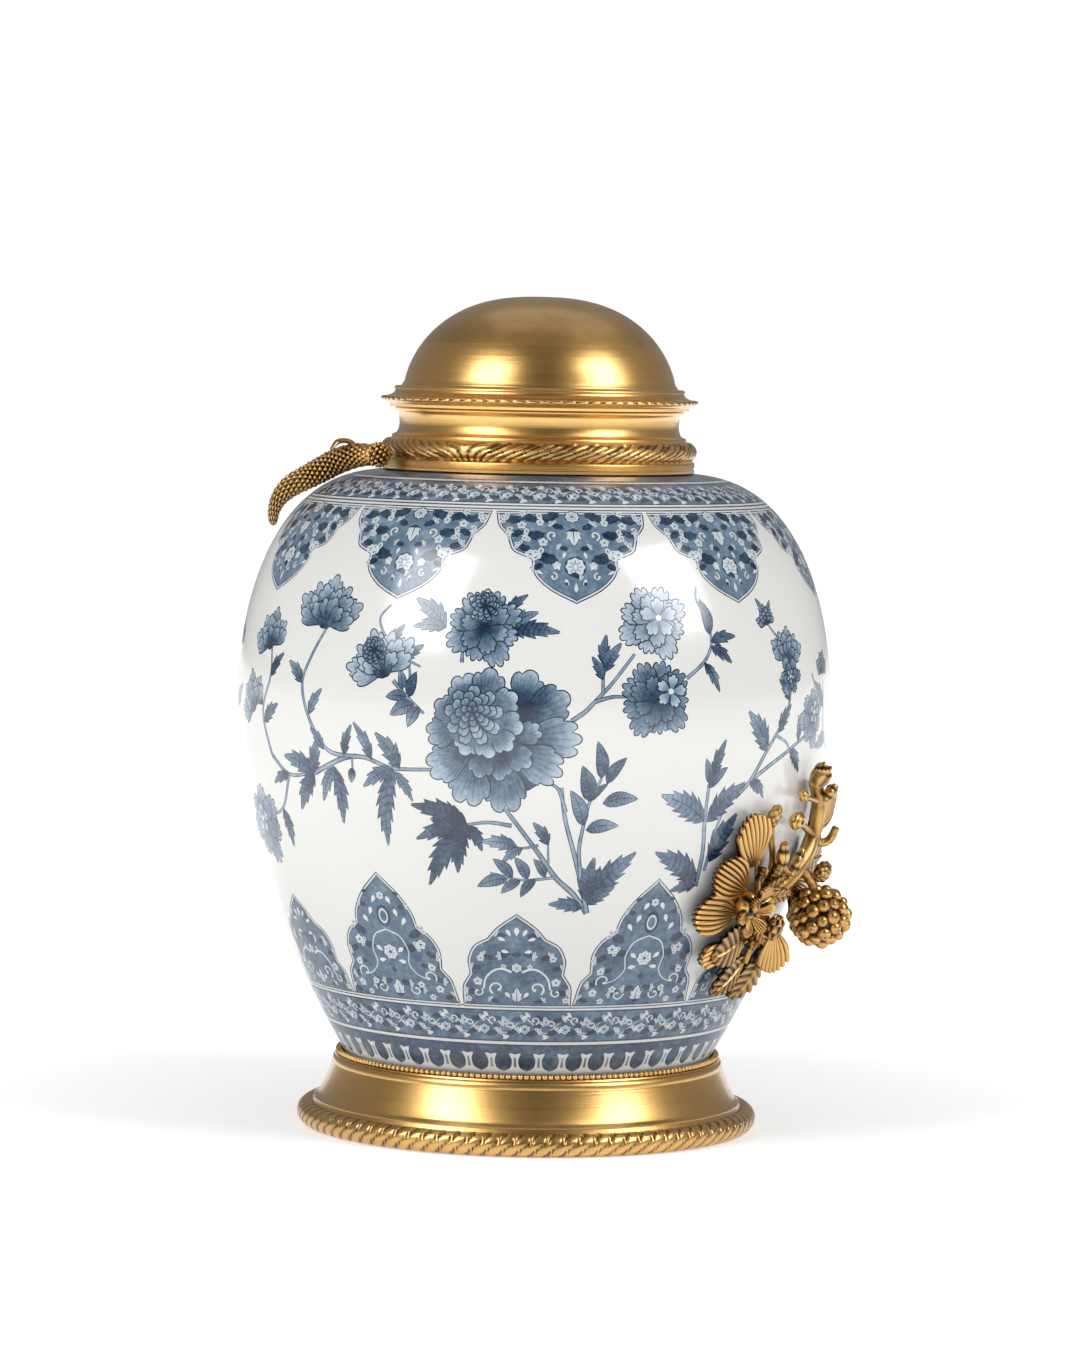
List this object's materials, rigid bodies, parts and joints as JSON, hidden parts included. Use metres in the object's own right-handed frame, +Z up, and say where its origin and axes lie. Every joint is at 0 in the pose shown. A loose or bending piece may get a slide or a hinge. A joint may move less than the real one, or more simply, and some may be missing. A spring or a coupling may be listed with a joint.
{
  "type": "mantel urn",
  "caption": "Covered blue and white porcelain jar in gilt bronze mounts: domed lid, neck collar, moulded socle, a shoulder garland and a cast fruiting vine spray.",
  "frame": {"origin": "centre of the socle's flat underside", "axes": "+Z up through the jar's axis; the painted front faces -Y, the vine spray is on the +X side and the garland on the -X side"},
  "size_m": [0.2847, 0.2748, 0.3846],
  "materials": {
    "glazed_porcelain": "white glaze painted in underglaze blue",
    "gilt_bronze": "satin gilding, brushed in turned lines",
    "antique_gilt": "cast, gilded and toned dark in the recesses"
  },
  "bodies": {
    "root": {"porcelain_jar": "glazed_porcelain", "neck_collar": "gilt_bronze", "lid": "gilt_bronze", "base_socle": "gilt_bronze", "scaled_garland": "antique_gilt", "fruiting_vine_mount": "antique_gilt"}
  },
  "joints": []
}
